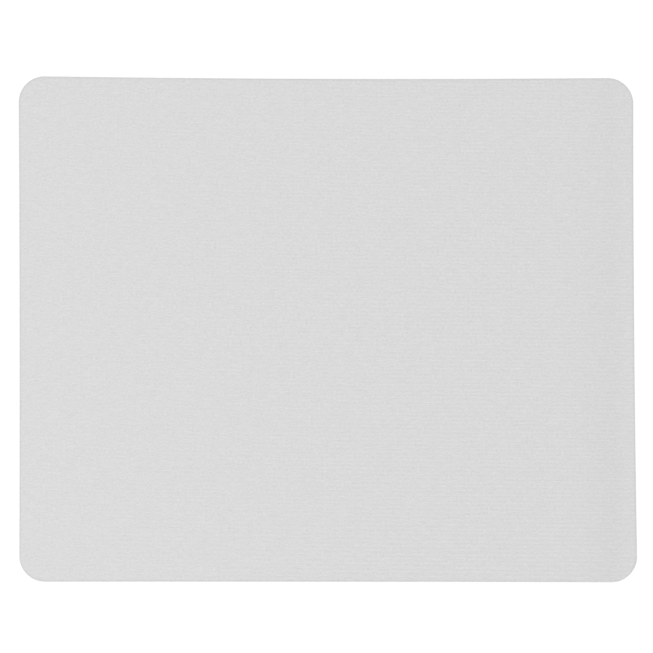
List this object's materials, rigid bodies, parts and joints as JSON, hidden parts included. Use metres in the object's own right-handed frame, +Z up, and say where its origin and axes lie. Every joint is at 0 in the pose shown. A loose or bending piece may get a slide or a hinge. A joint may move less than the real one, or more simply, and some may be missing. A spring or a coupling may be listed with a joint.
{
  "type": "mouse pad",
  "caption": "Flat rectangular mouse pad with round corners: a plain knitted cloth face bonded to a foamed rubber base with a fluted anti-slip underside.",
  "frame": {"origin": "under the middle of the pad, on the surface that it lies on", "axes": "+X along the front edge to the right, +Y from the front edge to the back edge, +Z up through the cloth face"},
  "size_m": [0.22, 0.18, 0.003],
  "materials": {
    "face_cloth": "plain knitted polyester, pale grey, fine crosswise rows",
    "bond_film": "milky hot-melt film",
    "rubber_base": "black foamed rubber, moulded underside, open cells in the cut edge"
  },
  "bodies": {
    "root": {"face_cloth": "face_cloth", "bond_film": "bond_film", "rubber_base": "rubber_base"}
  },
  "joints": []
}
